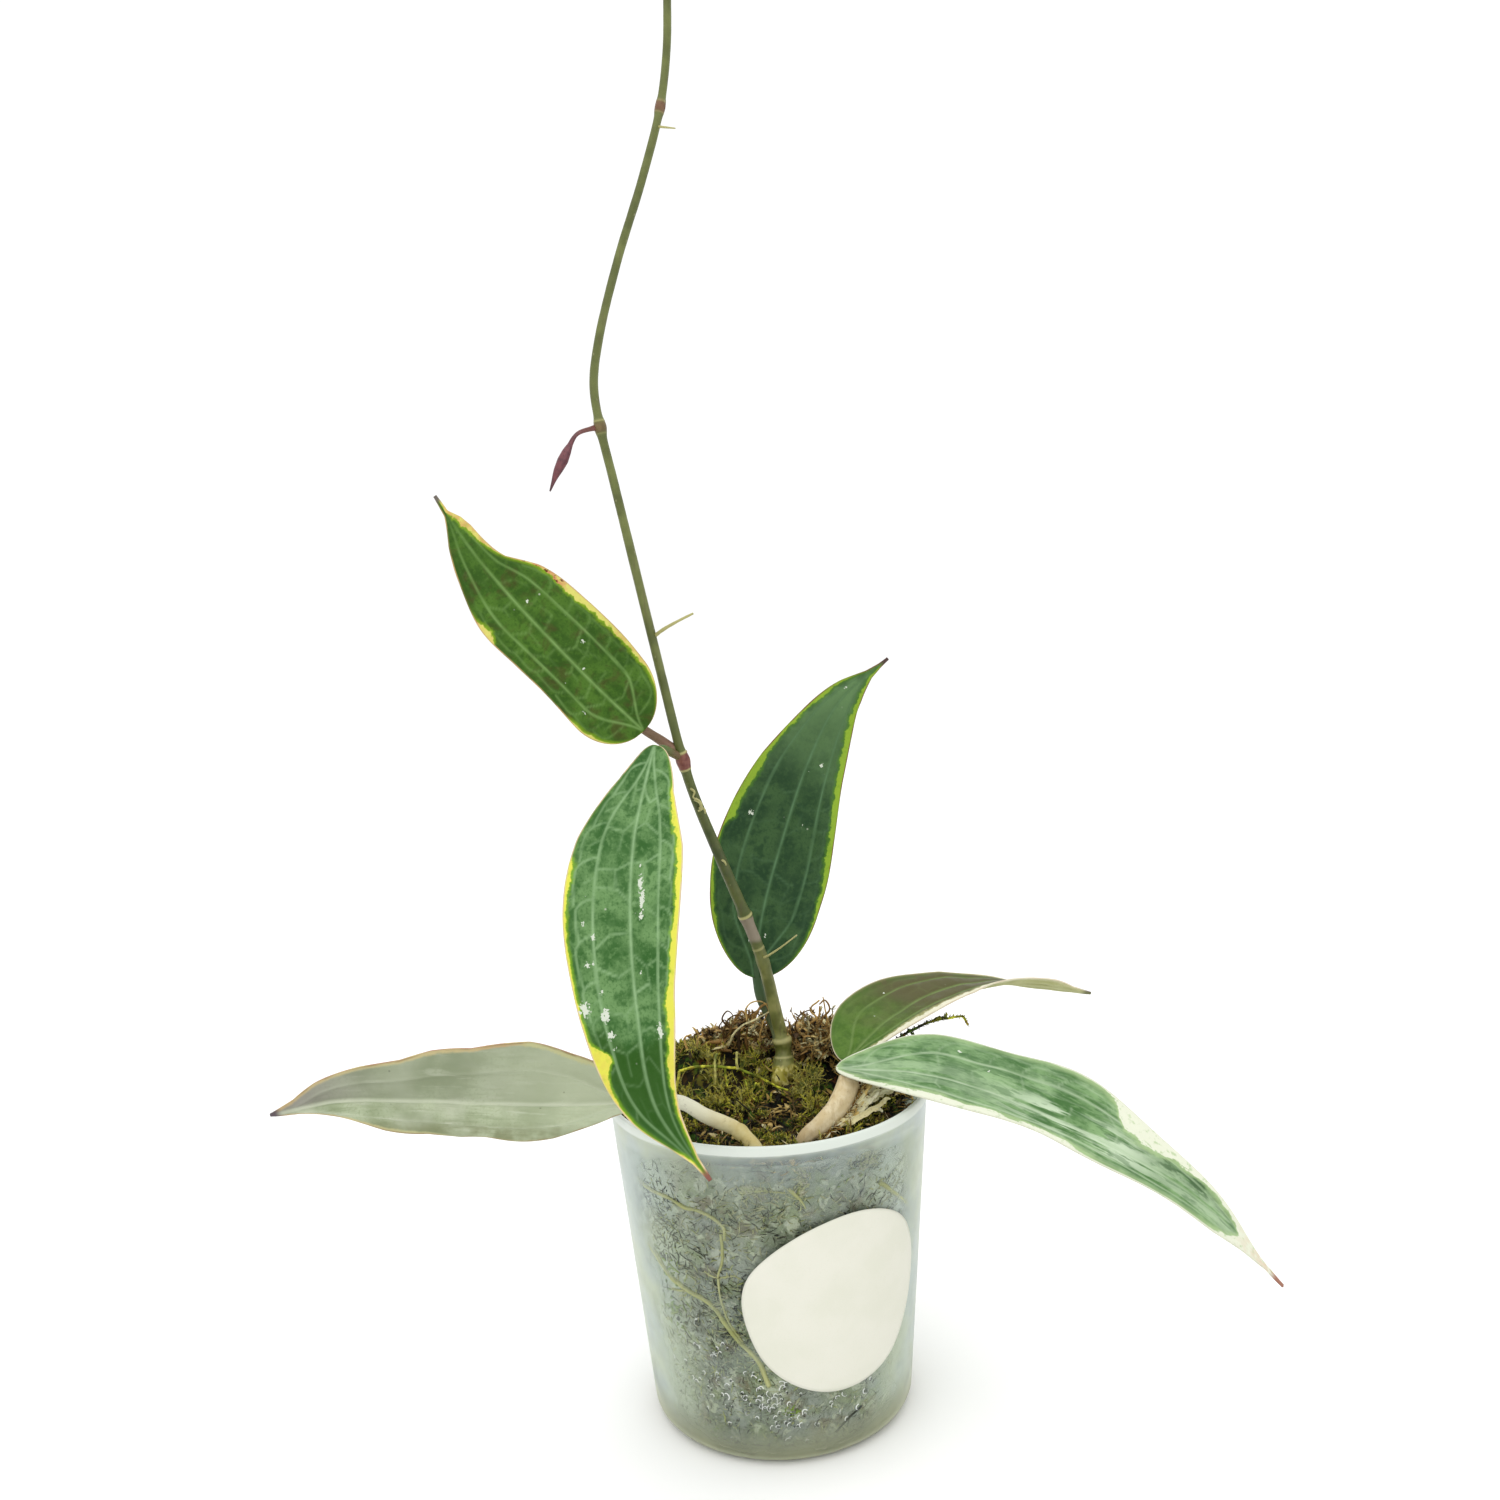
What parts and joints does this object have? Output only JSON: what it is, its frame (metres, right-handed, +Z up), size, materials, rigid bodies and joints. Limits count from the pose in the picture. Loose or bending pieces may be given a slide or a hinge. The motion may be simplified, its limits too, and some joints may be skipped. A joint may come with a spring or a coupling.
{
  "type": "potted climbing hoya",
  "caption": "Climbing hoya with long pale-edged leaves on a tall thin vine, rooted in moss in a tapered frosted nursery pot with a blank pebble-shaped label.",
  "frame": {"origin": "centre of the pot's flat underside", "axes": "+Z up along the pot's axis and the vine; -Y is the front, where the label and the hanging leaf face; +X to the right"},
  "size_m": [0.3086, 0.1276, 0.476],
  "materials": {
    "pot": "frosted translucent",
    "label": "matt paper-like film",
    "potting_mix": "damp bark and moss mix",
    "moss": "live and dried moss",
    "dead_moss": "dry brown moss",
    "roots": "pale living root",
    "vine": "olive green living stem",
    "young_leaf": "waxy dark red",
    "side_stem": "pale tan stem",
    "husk": "dry papery husk",
    "leaf": "waxy green with pale margin"
  },
  "bodies": {
    "root": {"pot": "pot", "label": "label", "potting_mix": "potting_mix", "moss_mat": "moss", "roots": "roots", "vine": "vine", "young_leaf": "young_leaf", "side_stem": "side_stem", "dry_husk": "husk", "leaf_upper_left": "leaf", "leaf_hanging": "leaf", "leaf_upright": "leaf", "leaf_left": "leaf", "leaf_right_front": "leaf", "leaf_right_back": "leaf", "moss_spray_left": "dead_moss", "moss_spray_back": "dead_moss", "moss_spray_right": "dead_moss", "moss_runner": "moss", "moss_strand": "moss"}
  },
  "joints": []
}
